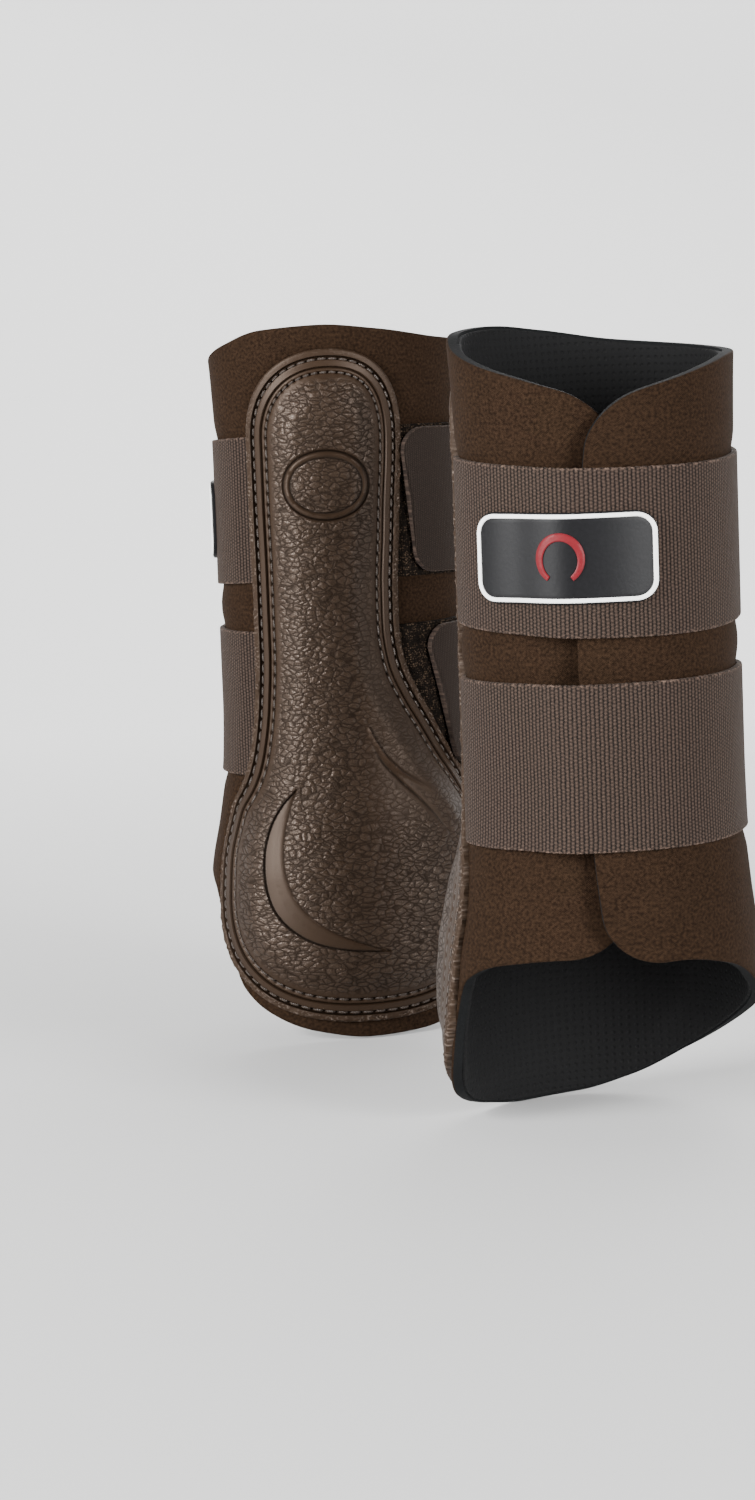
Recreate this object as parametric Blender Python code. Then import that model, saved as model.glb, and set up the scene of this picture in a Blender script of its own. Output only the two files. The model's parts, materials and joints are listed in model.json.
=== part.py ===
"""A pair of horse tendon boots, closed as they are worn: two mirrored wrap-around sleeves with moulded strike pads.

Units are metres, +Z is up and the horse faces -Y, so the left boot stands at +X and the right boot at -X.
The origin lies midway between the two leg axes, level with the boots' lowest edge.

Places on a boot are given by a wrap angle and a height. The wrap angle is in degrees round the leg, 0 at the
middle of the strike pad's column, positive towards the front of the leg and on round the outside.
"""

import math

import bmesh
import bpy

# Driving sizes
LEG_SPACING = 0.195  # between the two leg axes
SHELL_ACROSS = 0.0352  # half width of a boot's outer face, across the horse
SHELL_ALONG = 0.0428  # half width of a boot's outer face, along the horse
PAD_MIDDLE = -151.0  # compass angle of wrap angle 0, where 0 is the outer side and -90 the front
FORWARD_SHIFT = 0.29  # how much of the fetlock flare also moves the section forwards

# Layers, measured outwards from the shell's outer face
GAP = 0.0004  # between a panel and its own lining
LAYER_GAP = 0.0007  # under whatever lies on a panel
PAD_GAP = 0.0015  # under the strike pad, which spans the flare
SHELL_THICKNESS = 0.0030
LINING_THICKNESS = 0.0009
STRAP_THICKNESS = 0.0016
PAD_SKIN = 0.0012
PAD_RISE = 0.0030
PATCH_THICKNESS = 0.0009
HOOK_THICKNESS = 0.0009
BADGE_THICKNESS = 0.0016

# Heights
STRAP_WIDTH = 0.050
UPPER_STRAP_HEIGHT = 0.1815
LOWER_STRAP_HEIGHT = 0.1155
UPPER_STRAP_TILT = 0.0025
PAD_BOTTOM = 0.0056
PAD_TOP = 0.2370

# Badge
BADGE_LENGTH = 0.052
BADGE_HEIGHT = 0.027
BADGE_CORNER = 0.0065
BADGE_MIDDLE = 113.0
BADGE_DROP = 0.0015

# Wrap angles of the lines where one panel or strap length ends and the next begins
FRONT_HINGE = 64.0
REAR_HINGE = -97.0
FRONT_PANEL_END = 138.0
REAR_PANEL_END = -241.5
STRAP_HINGE = 165.0
TAB_HINGE = 271.0
TAB_ENDS = {"upper": (316.0, 319.5), "lower": (282.0, 308.0)}  # at the strap's lower and upper edge
PATCH_ENDS = {"upper": -41.5, "lower": -39.0}
HOOK_SETBACK = 5.0  # how far short of its tab a hook pad ends
STRAP_LIFT_FROM = 62.0  # the strap starts to climb here, and is on the rear panel at its edge
REAR_LIFT_FROM = -151.0  # the rear panel starts to climb over the front panel here
REAR_LIFT_TO = -209.0

# Strike pad outline
ARCH_FOOT = 0.2060  # above this the column closes in an arch, and below LOBE_HEIGHT the lobe closes in another
ARCH_MIDDLE = -5.0
ARCH_POWERS = (2.4, 2.0)  # of its rear and front half: 2 is an ellipse, and more is squarer
LOBE_MIDDLE = -17.0
LOBE_HALF = 75.0
LOBE_HEIGHT = 0.0540
LOBE_POWER = 2.3
PAD_FLANGE = 0.0095
PAD_SHOULDER = 0.0050
PAD_TIP = 0.0003  # taken off the top and bottom, so that they end in a short straight edge
INSERT_INSET = 0.0190

MM_PER_DEGREE = 0.72  # a degree of wrap on the outer face, on average
SEAM_GAP = 0.35  # degrees left open at each hinge line, on each side
ROOT_CLEARANCE = 2.0  # degrees between the strike pad's edge and a strap's sewn end
PATCH_SETBACK = 4.0  # degrees from the tab hinge to a loop patch
PATCH_CLEARANCE = 2.5  # degrees between a loop patch and the strike pad's edge
PATCH_MARGIN = 0.0010  # a loop patch is this much taller than its strap on each side
PATCH_SEARCH = 0.0005
HINGE_MARGIN = 0.0003  # how far a hinge line stands outside the pieces that meet at it
REAR_HINGE_FOOT = 0.030  # height where the rear hinge line touches the widest part of the flare
STEP = 12.0  # degrees between the columns of a mesh
ROW_CROWDING = 1.35  # crowds a mesh's rows towards the flared bottom

# Rims of the opened-out shell and the boot's side profile: control points of smooth curves
TOP_RIM = (
    (-241.5, 0.2245), (-226, 0.2260), (-213, 0.2285), (-190, 0.2325), (-165, 0.2350), (-110, 0.2370),
    (-67, 0.2392), (-30, 0.2432), (-5, 0.2450), (25, 0.2438), (50, 0.2392), (89, 0.2320), (146, 0.2230),
)
BOTTOM_RIM = (
    (-241.5, 0.0560), (-217, 0.0570), (-191, 0.0528), (-164, 0.0425), (-130, 0.0290), (-97, 0.0150),
    (-70, 0.0052), (-45, 0.0008), (-18, 0.0), (8, 0.0028), (28, 0.0085), (42, 0.0165), (56, 0.0380),
    (66, 0.0500), (87, 0.0560), (115, 0.0582), (146, 0.0582),
)
FLARE = (
    (0.0, 0.0058), (0.030, 0.0068), (0.055, 0.0055), (0.075, 0.0026), (0.095, 0.0005), (0.115, 0.0),
    (0.200, 0.0), (0.225, 0.0007), (0.245, 0.0015),
)

# Wrap angles of the strike pad's edges at heights between its two arches
PAD_FRONT_EDGE = (
    (0.054, 58.0), (0.064, 58.8), (0.080, 55.0), (0.090, 46.3), (0.100, 41.8), (0.115, 38.6), (0.135, 36.8),
    (0.160, 36.8), (0.185, 37.3), (0.212, 37.4),
)
PAD_REAR_EDGE = (
    (0.054, -92.0), (0.060, -91.7), (0.075, -85.5), (0.090, -71.0), (0.100, -60.0), (0.110, -51.3), (0.120, -43.0),
    (0.130, -37.3), (0.142, -35.2), (0.155, -35.3), (0.170, -36.6), (0.185, -37.8), (0.200, -39.3), (0.212, -39.8),
)

MATERIALS = {
    "neoprene": ((0.052, 0.028, 0.017), 0.85),
    "lining": ((0.010, 0.010, 0.011), 0.9),
    "strap_elastic": ((0.092, 0.065, 0.052), 0.8),
    "pad_leather": ((0.065, 0.041, 0.029), 0.45),
    "insert_foam": ((0.05, 0.05, 0.05), 0.7),
    "loop_pile": ((0.030, 0.020, 0.013), 0.95),
    "hook_tape": ((0.020, 0.016, 0.014), 0.8),
    "badge_rubber": ((0.012, 0.012, 0.013), 0.4),
}


def smooth_curve(points, x):
    """Height at x of the smooth curve through the control points, with flat ends and no overshoot."""
    if x <= points[0][0]:
        return points[0][1]
    for k in range(len(points) - 1):
        (x0, y0), (x1, y1) = points[k], points[k + 1]
        if x <= x1:
            break
    else:
        return points[-1][1]

    def slope(i):
        if i <= 0 or i >= len(points) - 1:
            return 0.0
        before = (points[i][1] - points[i - 1][1]) / (points[i][0] - points[i - 1][0])
        after = (points[i + 1][1] - points[i][1]) / (points[i + 1][0] - points[i][0])
        return 2 * before * after / (before + after) if before * after > 0 else 0.0

    width = x1 - x0
    t = (x - x0) / width
    rise, leave, arrive = y1 - y0, slope(k) * width, slope(k + 1) * width
    return y0 + leave * t + (3 * rise - 2 * leave - arrive) * t**2 + (leave + arrive - 2 * rise) * t**3


def ease(value, start, end):
    """0 before start, 1 after end, and smooth in between."""
    t = min(1.0, max(0.0, (value - start) / (end - start)))
    return t * t * (3 - 2 * t)


def wrap_point(wrap, height, offset):
    """The place at that wrap angle and height, offset outwards from the shell's outer face."""
    compass = math.radians(wrap + PAD_MIDDLE)
    flare = smooth_curve(FLARE, height)
    across, along = SHELL_ACROSS + flare, SHELL_ALONG + flare
    normal = (math.cos(compass) / across, math.sin(compass) / along)
    length = math.hypot(*normal)
    x = across * math.cos(compass) + offset * normal[0] / length
    y = along * math.sin(compass) + offset * normal[1] / length - FORWARD_SHIFT * flare
    return (x, y, height)


# Heights of the layers


def rear_lift(wrap):
    """How far the rear panel rides up over the front panel it overlaps."""
    full = SHELL_THICKNESS + GAP + LINING_THICKNESS + LAYER_GAP
    return full * ease(-wrap, -REAR_LIFT_FROM, -REAR_LIFT_TO)


def strap_base(wrap):
    """Inner face of a strap: over the front panel, up onto the rear panel's edge, and down its other side."""
    edge = REAR_PANEL_END + 360
    if wrap < edge:
        return LAYER_GAP + rear_lift(REAR_PANEL_END) * ease(wrap, STRAP_LIFT_FROM, edge)
    hook_stack = PATCH_THICKNESS + GAP + HOOK_THICKNESS + GAP
    return LAYER_GAP + rear_lift(wrap - 360) + hook_stack * ease(wrap, TAB_HINGE - 24, TAB_HINGE - 6)


def strap_middle(name, wrap):
    """Height of a strap's centre line: the upper strap sits a little lower on the outer side."""
    if name == "lower":
        return LOWER_STRAP_HEIGHT
    return UPPER_STRAP_HEIGHT - UPPER_STRAP_TILT * math.cos(math.radians(wrap + PAD_MIDDLE))


def pad_edges(height):
    """Wrap angles of the strike pad's rear and front edge at a height."""
    if height < LOBE_HEIGHT:
        share = (LOBE_HEIGHT - height) / (LOBE_HEIGHT - PAD_BOTTOM)
        half = LOBE_HALF * max(0.0, 1 - share**LOBE_POWER) ** (1 / LOBE_POWER)
        return LOBE_MIDDLE - half, LOBE_MIDDLE + half
    level = min(height, ARCH_FOOT)
    share = max(0.0, height - ARCH_FOOT) / (PAD_TOP - ARCH_FOOT)
    rear, front = (
        ARCH_MIDDLE + (smooth_curve(edge, level) - ARCH_MIDDLE) * max(0.0, 1 - share**power) ** (1 / power)
        for edge, power in zip((PAD_REAR_EDGE, PAD_FRONT_EDGE), ARCH_POWERS)
    )
    return rear, front


def pad_rise(wrap, height, rear, front):
    """How far the pad's padded middle stands above its stitched flange."""
    sideways = min(wrap - rear, front - wrap) * MM_PER_DEGREE / 1000
    inside = min(sideways, height - PAD_BOTTOM, PAD_TOP - height)
    return PAD_RISE * ease(inside, PAD_FLANGE, PAD_FLANGE + PAD_SHOULDER)


# Mesh makers


def closed_sheet(name, rows, columns, place, inner, outer):
    """A closed solid between two offsets of the shell. place(s, t) gives a wrap angle and a height."""
    mesh = bpy.data.meshes.new(name)
    bm = bmesh.new()
    faces = []
    for offset in (outer, inner):
        grid = []
        for j in range(rows + 1):
            line = []
            for i in range(columns + 1):
                wrap, height = place(i / columns, j / rows)
                line.append(bm.verts.new(wrap_point(wrap, height, offset(wrap, height))))
            grid.append(line)
        faces.append(grid)
    front, back = faces
    for j in range(rows):
        for i in range(columns):
            bm.faces.new((front[j][i], front[j][i + 1], front[j + 1][i + 1], front[j + 1][i]))
            bm.faces.new((back[j][i], back[j + 1][i], back[j + 1][i + 1], back[j][i + 1]))
    corners = [(0, i) for i in range(columns)] + [(j, columns) for j in range(rows)]
    corners += [(rows, i) for i in range(columns, 0, -1)] + [(j, 0) for j in range(rows, 0, -1)]
    for k, (j, i) in enumerate(corners):
        jn, im = corners[(k + 1) % len(corners)]
        bm.faces.new((front[j][i], back[j][i], back[jn][im], front[jn][im]))
    bmesh.ops.recalc_face_normals(bm, faces=bm.faces)
    bm.to_mesh(mesh)
    bm.free()
    mesh.shade_smooth()
    mesh.set_sharp_from_angle(angle=math.radians(35))
    return mesh


def steps(start, end):
    return max(2, round(abs(end - start) / STEP))


def corner_drop(distance, radius):
    """How far a rounded corner has fallen at a distance from the sheet's end."""
    if distance >= radius:
        return 0.0
    return radius - math.sqrt(radius**2 - (radius - distance) ** 2)


def panel_mesh(name, start, end, corner, rows, inner, outer, inset=0.0, bow=0.0):
    """One length of the shell, from wrap angle start to end, with its far corners rounded if corner is over 0."""
    reach = abs(end - start) * MM_PER_DEGREE / 1000
    columns = steps(start, end)

    def place(s, t):
        if corner:
            s = 1 - (1 - s) ** 1.35
        distance = (1 - s) * reach
        wrap = start + (end - start) * s
        drop = corner_drop(distance, corner) if corner else 0.0
        bottom = smooth_curve(BOTTOM_RIM, wrap) + drop + inset
        top = smooth_curve(TOP_RIM, wrap) - drop - inset
        height = bottom + (top - bottom) * t**ROW_CROWDING
        middle = (UPPER_STRAP_HEIGHT + LOWER_STRAP_HEIGHT) / 2
        return wrap + bow * s * ((height - middle) / 0.057) ** 2, height

    return closed_sheet(name, rows, columns, place, inner, outer)


def shell_pair(name, start, end, rows, lift=None, corner=0.0, bow=0.0):
    """A shell panel and the lining behind it."""
    lift = lift or (lambda wrap: 0.0)
    lining_face = -SHELL_THICKNESS - GAP
    panel = panel_mesh(
        name + "_panel", start, end, corner, rows,
        lambda w, z: lift(w) - SHELL_THICKNESS, lambda w, z: lift(w), bow=bow,
    )
    inset = 0.0015
    toward = inset * 1000 / MM_PER_DEGREE
    lining_end = end if not corner else end - math.copysign(toward, end - start)
    lining = panel_mesh(
        name + "_lining", start, lining_end, corner, rows,
        lambda w, z: lift(w) + lining_face - LINING_THICKNESS, lambda w, z: lift(w) + lining_face,
        inset=inset, bow=bow,
    )
    return panel, lining


def strap_mesh(name, level, start, end, thickness=STRAP_THICKNESS, base=strap_base, margin=0.0, corner=0.0):
    """A length of strap. start and end may each be a wrap angle or a (lower edge, upper edge) pair."""
    starts = start if isinstance(start, tuple) else (start, start)
    ends = end if isinstance(end, tuple) else (end, end)
    half = STRAP_WIDTH / 2 - margin
    columns = max(steps(starts[0], ends[1]), 6 if corner else 2)
    rows = 4 if corner else 2

    def place(s, t):
        if corner:
            s = 1 - (1 - s) ** 1.3
        first = starts[0] + (starts[1] - starts[0]) * t
        last = ends[0] + (ends[1] - ends[0]) * t
        wrap = first + (last - first) * s
        distance = (last - wrap) * MM_PER_DEGREE / 1000
        drop = corner_drop(distance, corner) if corner else 0.0
        return wrap, strap_middle(level, wrap) + (2 * t - 1) * (half - drop)

    return closed_sheet(name, rows, columns, place, lambda w, z: base(w), lambda w, z: base(w) + thickness)


def pad_line(index, count, low, high, border, edge_lines):
    """Place of one of the pad mesh's lines: close ones inside each edge, at shares of the border, then even ones."""
    border = min(border, 0.3 * (high - low))
    last = len(edge_lines) - 1
    if index <= last:
        return low + border * edge_lines[index]
    if index >= count - last:
        return high - border * edge_lines[count - index]
    return low + border + (high - low - 2 * border) * (index - last) / (count - 2 * last)


def pad_cover_mesh():
    rows, columns = 20, 12
    border = PAD_FLANGE + PAD_SHOULDER
    flange = PAD_FLANGE / border
    low, high = PAD_BOTTOM + PAD_TIP, PAD_TOP - PAD_TIP

    def place(s, t):
        height = pad_line(round(t * rows), rows, low, high, border, (0.0, 0.1, 0.28, flange, 1.0))
        rear, front = pad_edges(height)
        degrees = border * 1000 / MM_PER_DEGREE
        wrap = pad_line(round(s * columns), columns, rear, front, degrees, (0.0, flange, 1.0))
        return wrap, height

    def outer(wrap, height):
        return PAD_GAP + PAD_SKIN + pad_rise(wrap, height, *pad_edges(height))

    return closed_sheet("strike_pad", rows, columns, place, lambda w, z: outer(w, z) - PAD_SKIN, outer)


def pad_insert_mesh():
    inset = INSERT_INSET * 1000 / MM_PER_DEGREE
    low, high = PAD_BOTTOM + INSERT_INSET, PAD_TOP - INSERT_INSET

    def place(s, t):
        height = low + (high - low) * t**ROW_CROWDING
        rear, front = pad_edges(height)
        round_end = math.sqrt(max(0.0, 1 - (2 * t - 1) ** 16))
        middle, half = (rear + front) / 2, ((front - rear) / 2 - inset) * max(0.35, round_end)
        return middle + half * (2 * s - 1), height

    return closed_sheet(
        "pad_insert", 12, 8, place, lambda w, z: PAD_GAP + LAYER_GAP, lambda w, z: PAD_GAP + PAD_RISE - 2 * LAYER_GAP
    )


def patch_mesh(level):
    """Loop pile that a strap's hooks press onto, cut to stay clear of the strike pad's rear edge."""
    start, end = TAB_HINGE + PATCH_SETBACK - 360, PATCH_ENDS[level]

    def lower_edge(wrap):
        bottom = strap_middle(level, wrap) - STRAP_WIDTH / 2 + PATCH_MARGIN
        height = strap_middle(level, wrap) + STRAP_WIDTH / 2 - PATCH_MARGIN
        while height > bottom and pad_edges(height - PATCH_SEARCH)[0] > wrap + PATCH_CLEARANCE:
            height -= PATCH_SEARCH
        return height

    def place(s, t):
        wrap = start + (end - start) * s
        top = strap_middle(level, wrap) + STRAP_WIDTH / 2 + PATCH_MARGIN
        bottom = lower_edge(wrap)
        return wrap, bottom + (top - bottom) * t

    return closed_sheet(
        level + "_loop_patch", 3, 6, place,
        lambda w, z: LAYER_GAP, lambda w, z: LAYER_GAP + PATCH_THICKNESS,
    )


def badge_mesh():
    """A rubber badge with round corners on the upper strap, at the front of the outer side."""
    half_degrees = BADGE_LENGTH / 2 * 1000 / MM_PER_DEGREE

    def place(s, t):
        across = math.sin(math.pi * (s - 0.5))
        distance = (1 - abs(across)) * BADGE_LENGTH / 2
        half = BADGE_HEIGHT / 2 - corner_drop(distance, BADGE_CORNER)
        wrap = BADGE_MIDDLE + half_degrees * across
        return wrap, strap_middle("upper", wrap) - BADGE_DROP + half * (2 * t - 1)

    def inner(wrap, height):
        return strap_base(wrap) + STRAP_THICKNESS + GAP

    return closed_sheet("badge", 2, 10, place, inner, lambda w, z: inner(w, z) + BADGE_THICKNESS)


def strap_root_mesh(level):
    """The sewn end of a strap, starting at the strike pad's front edge."""

    def place(s, t):
        rise = STRAP_WIDTH * (t - 0.5)
        first = pad_edges(strap_middle(level, FRONT_HINGE) + rise)[1] + ROOT_CLEARANCE
        wrap = first + (FRONT_HINGE - SEAM_GAP - first) * s
        return wrap, strap_middle(level, wrap) + rise

    return closed_sheet(
        level + "_strap_root", 4, 4, place, lambda w, z: strap_base(w),
        lambda w, z: strap_base(w) + STRAP_THICKNESS,
    )


# Hinge lines on the left boot. Each runs just outside everything that meets at it, so that it opens freely.


def shell_hinge(wrap, low, high):
    """A line from its low to its high (height, offset): it leans with the flare of the boot."""
    foot, head = (wrap_point(wrap, height, offset) for height, offset in (low, high))
    length = math.dist(foot, head)
    return foot, tuple((h - f) / length for f, h in zip(foot, head))


def strap_hinge(level, wrap):
    low_edge = strap_middle(level, wrap) - STRAP_WIDTH / 2
    return wrap_point(wrap, low_edge, strap_base(wrap) + STRAP_THICKNESS + HINGE_MARGIN), (0.0, 0.0, 1.0)


def hinge_lines():
    front_top = strap_middle("upper", FRONT_HINGE) + STRAP_WIDTH / 2
    front_offset = strap_base(FRONT_HINGE) + STRAP_THICKNESS + HINGE_MARGIN
    lines = {
        "core": ((0.0, 0.0, 0.0), (0.0, 0.0, 1.0)),
        "front_wing": shell_hinge(
            FRONT_HINGE, (smooth_curve(BOTTOM_RIM, FRONT_HINGE), HINGE_MARGIN), (front_top, front_offset)
        ),
        "rear_wing": shell_hinge(
            REAR_HINGE, (REAR_HINGE_FOOT, HINGE_MARGIN), (smooth_curve(TOP_RIM, REAR_HINGE), HINGE_MARGIN)
        ),
    }
    for level in ("upper", "lower"):
        lines[level + "_strap"] = strap_hinge(level, STRAP_HINGE)
        lines[level + "_tab"] = strap_hinge(level, TAB_HINGE)
    return lines


def boot_meshes():
    """Every piece of one boot: (name, body, material, mesh)."""
    pieces = []
    front_start, rear_start = FRONT_HINGE + SEAM_GAP, REAR_HINGE - SEAM_GAP
    lengths = (
        ("medial", "core", REAR_HINGE + SEAM_GAP, FRONT_HINGE - SEAM_GAP, 10, None, 0.0, 0.0),
        ("front", "front_wing", front_start, FRONT_PANEL_END, 8, None, 0.018, 0.0),
        ("rear", "rear_wing", rear_start, REAR_PANEL_END, 8, rear_lift, 0.015, 4.0),
    )
    for name, body, start, end, rows, lift, corner, bow in lengths:
        panel, lining = shell_pair(name, start, end, rows, lift, corner, bow)
        pieces.append((name + "_panel", body, "neoprene", panel))
        pieces.append((name + "_lining", body, "lining", lining))
    pieces.append(("strike_pad", "core", "pad_leather", pad_cover_mesh()))
    pieces.append(("pad_insert", "core", "insert_foam", pad_insert_mesh()))
    for level in ("upper", "lower"):
        tab_start, tab_end = TAB_HINGE + SEAM_GAP, TAB_ENDS[level]
        hook_end = tuple(end - HOOK_SETBACK for end in tab_end)
        pieces += [
            (level + "_strap_root", "core", "strap_elastic", strap_root_mesh(level)),
            (level + "_loop_patch", "core", "loop_pile", patch_mesh(level)),
            (level + "_strap_front", "front_wing", "strap_elastic",
             strap_mesh(level + "_strap_front", level, front_start, STRAP_HINGE - SEAM_GAP)),
            (level + "_strap_side", level + "_strap", "strap_elastic",
             strap_mesh(level + "_strap_side", level, STRAP_HINGE + SEAM_GAP, TAB_HINGE - SEAM_GAP)),
            (level + "_strap_tab", level + "_tab", "strap_elastic",
             strap_mesh(level + "_strap_tab", level, tab_start, tab_end, corner=0.008)),
            (level + "_hook_pad", level + "_tab", "hook_tape",
             strap_mesh(level + "_hook_pad", level, tab_start + HOOK_SETBACK / 2, hook_end, HOOK_THICKNESS,
                        lambda w: strap_base(TAB_HINGE) - GAP - HOOK_THICKNESS, 0.003, 0.006)),
        ]
    pieces.append(("badge", "front_wing", "badge_rubber", badge_mesh()))
    return pieces


def make_materials():
    made = {}
    for name, (colour, roughness) in MATERIALS.items():
        material = bpy.data.materials.new(name)
        material.use_nodes = True
        shader = material.node_tree.nodes["Principled BSDF"]
        shader.inputs["Base Color"].default_value = (*colour, 1.0)
        shader.inputs["Roughness"].default_value = roughness
        made[name] = material
    return made


def new_empty(name, parent, place):
    empty = bpy.data.objects.new(name, None)
    empty.location = place
    empty.parent = parent
    bpy.context.scene.collection.objects.link(empty)
    return empty


def assemble(side, sign, pieces, lines):
    """One boot: an empty for each moving body, on its hinge axis, with the body's pieces under it."""
    boot = new_empty(side + "_boot", None, (sign * LEG_SPACING / 2, 0.0, 0.0))
    boot.scale.x = sign
    empties = {}
    for name, body, _, mesh in pieces:
        place = lines[body][0]
        if body not in empties:
            empties[body] = new_empty(f"{side}_{body}_pivot", boot, place)
        piece = bpy.data.objects.new(f"{side}_{name}", mesh)
        piece.parent = empties[body]
        piece.location = tuple(-c for c in place)
        bpy.context.scene.collection.objects.link(piece)


def main():
    for old in list(bpy.data.objects):
        bpy.data.objects.remove(old, do_unlink=True)
    materials = make_materials()
    pieces = boot_meshes()
    for _, _, material, mesh in pieces:
        mesh.materials.append(materials[material])
    lines = hinge_lines()
    for side, sign in (("left", 1), ("right", -1)):
        assemble(side, sign, pieces, lines)


main()
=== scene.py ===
"""Looks of a pair of horse tendon boots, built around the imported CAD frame.

Units are metres, +Z is up and the horse faces -Y. Every shape is made once, for the left boot, and
mirrored for the right one. Places on a boot are given by a wrap angle in degrees, 0 at the middle of the
strike pad's column and positive towards the front of the leg, a height, and an offset outwards from the
shell's outer face.
"""

import json
import math

import bpy
import numpy as np
from mathutils import Matrix, Vector
from mathutils.geometry import delaunay_2d_cdt


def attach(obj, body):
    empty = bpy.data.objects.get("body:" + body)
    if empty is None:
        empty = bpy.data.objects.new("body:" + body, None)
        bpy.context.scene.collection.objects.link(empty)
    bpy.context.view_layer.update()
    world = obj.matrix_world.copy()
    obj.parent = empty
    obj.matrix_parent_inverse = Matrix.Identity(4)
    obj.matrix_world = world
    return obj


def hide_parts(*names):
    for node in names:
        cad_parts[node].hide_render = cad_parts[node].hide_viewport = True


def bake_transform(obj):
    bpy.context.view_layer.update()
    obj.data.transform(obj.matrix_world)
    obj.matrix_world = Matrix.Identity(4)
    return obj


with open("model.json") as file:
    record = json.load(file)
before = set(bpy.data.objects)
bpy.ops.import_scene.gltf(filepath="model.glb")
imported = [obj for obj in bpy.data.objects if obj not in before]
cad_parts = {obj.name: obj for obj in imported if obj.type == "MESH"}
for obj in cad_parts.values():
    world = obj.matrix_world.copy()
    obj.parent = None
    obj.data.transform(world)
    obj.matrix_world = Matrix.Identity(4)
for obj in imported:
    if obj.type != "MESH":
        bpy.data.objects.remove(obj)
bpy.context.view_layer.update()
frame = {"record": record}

# The boot's shape
SHELL_ACROSS = 0.0352
SHELL_ALONG = 0.0428
PAD_MIDDLE = -151.0
FORWARD_SHIFT = 0.29
SHELL_THICKNESS = 0.0034
LINING_THICKNESS = 0.0009
LAYER_GAP = 0.0007
OVERLAP_LIFT = 0.0050
STRAP_WIDTH = 0.050
STRAP_HEIGHTS = {"upper": 0.1815, "lower": 0.1155}
BETWEEN_STRAPS = 0.1485
UPPER_STRAP_TILT = 0.0025
PAD_BOTTOM = 0.0056
PAD_TOP = 0.2370
FRONT_PANEL_END = 138.0
REAR_PANEL_END = -241.5
TAB_HINGE = 271.0
TAB_ENDS = {"upper": (317.2, 321.8), "lower": (298.0, 310.8)}
STRAP_LIFT_FROM = 92.0
REAR_LIFT_FROM = -151.0
REAR_LIFT_TO = -209.0
PANEL_BOW = 4.0
ARCH_FOOT = 0.2060
ARCH_MIDDLE = -5.0
REAR_ARCH_POWER = 2.4
FRONT_ARCH_POWER = 2.0
LOBE_MIDDLE = -17.0
LOBE_HALF = 75.0
LOBE_HEIGHT = 0.0540
LOBE_POWER = 2.3
HOOK_STACK = 0.0026
TAB_SEAM = 262.0
TUCK = 0.7  # degrees that straps and loop pile reach in under the strike pad's edge

TOP_RIM = (
    (-241.5, 0.2245), (-226, 0.2260), (-213, 0.2285), (-190, 0.2325), (-165, 0.2350), (-110, 0.2370),
    (-67, 0.2392), (-30, 0.2432), (-5, 0.2450), (25, 0.2438), (50, 0.2392), (89, 0.2320), (146, 0.2230),
)
BOTTOM_RIM = (
    (-241.5, 0.0560), (-217, 0.0570), (-191, 0.0528), (-164, 0.0425), (-130, 0.0290), (-97, 0.0150),
    (-70, 0.0052), (-45, 0.0008), (-18, 0.0), (8, 0.0028), (28, 0.0085), (42, 0.0165), (56, 0.0380),
    (66, 0.0500), (87, 0.0560), (115, 0.0582), (146, 0.0582),
)
FLARE = (
    (0.0, 0.0058), (0.030, 0.0068), (0.055, 0.0055), (0.075, 0.0026), (0.095, 0.0005), (0.115, 0.0),
    (0.200, 0.0), (0.225, 0.0007), (0.245, 0.0015),
)

# Wrap angles of the strike pad's edges at heights between its two arches
PAD_FRONT_EDGE = (
    (0.054, 58.0), (0.064, 58.8), (0.080, 55.0), (0.090, 46.3), (0.100, 41.8), (0.115, 38.6), (0.135, 36.8),
    (0.160, 36.8), (0.185, 37.3), (0.212, 37.4),
)
PAD_REAR_EDGE = (
    (0.054, -92.0), (0.060, -91.7), (0.075, -85.5), (0.090, -71.0), (0.100, -60.0), (0.110, -51.3),
    (0.120, -43.0), (0.130, -37.3), (0.142, -35.2), (0.155, -35.3), (0.170, -36.6), (0.185, -37.8),
    (0.200, -39.3), (0.212, -39.8),
)

SIDES = {"left": 1, "right": -1}
LEG_SPACE = next(o for o in frame["record"]["physics"]["openings"] if o["name"] == "left_leg_space")["box_m"]
LEG_X = (LEG_SPACE[0][0] + LEG_SPACE[1][0]) / 2
MM = 0.001


def smooth_curve(points, x):
    """Heights at x of the smooth curve through the control points, with flat ends and no overshoot."""
    xs, ys = np.array(points, float).T
    secants = np.diff(ys) / np.diff(xs)
    slopes = np.zeros(len(xs))
    for i in range(1, len(xs) - 1):
        before, after = secants[i - 1], secants[i]
        if before * after > 0:
            slopes[i] = 2 * before * after / (before + after)
    x = np.clip(np.asarray(x, float), xs[0], xs[-1])
    k = np.clip(np.searchsorted(xs, x, side="right") - 1, 0, len(xs) - 2)
    width = xs[k + 1] - xs[k]
    t = (x - xs[k]) / width
    rise, leave, arrive = ys[k + 1] - ys[k], slopes[k] * width, slopes[k + 1] * width
    return ys[k] + leave * t + (3 * rise - 2 * leave - arrive) * t**2 + (leave + arrive - 2 * rise) * t**3


def ease(value, start, end):
    """0 before start, 1 after end, and smooth in between."""
    t = np.clip((np.asarray(value, float) - start) / (end - start), 0.0, 1.0)
    return t * t * (3 - 2 * t)


def peak(distance, width):
    return np.exp(-((distance / width) ** 2))


def points_on(side, wrap, height, offset):
    """World points of one boot at those wrap angles, heights and offsets."""
    compass = np.radians(wrap + PAD_MIDDLE)
    flare = smooth_curve(FLARE, height)
    across, along = SHELL_ACROSS + flare, SHELL_ALONG + flare
    nx, ny = np.cos(compass) / across, np.sin(compass) / along
    length = np.hypot(nx, ny)
    x = across * np.cos(compass) + offset * nx / length
    y = along * np.sin(compass) + offset * ny / length - FORWARD_SHIFT * flare
    return np.stack([SIDES[side] * (x + LEG_X), y, height + 0 * x], axis=-1)


def running_length(points):
    """Distance of each point along a line from its first."""
    return np.concatenate([[0.0], np.cumsum(np.linalg.norm(np.diff(points, axis=0), axis=1))])


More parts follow.
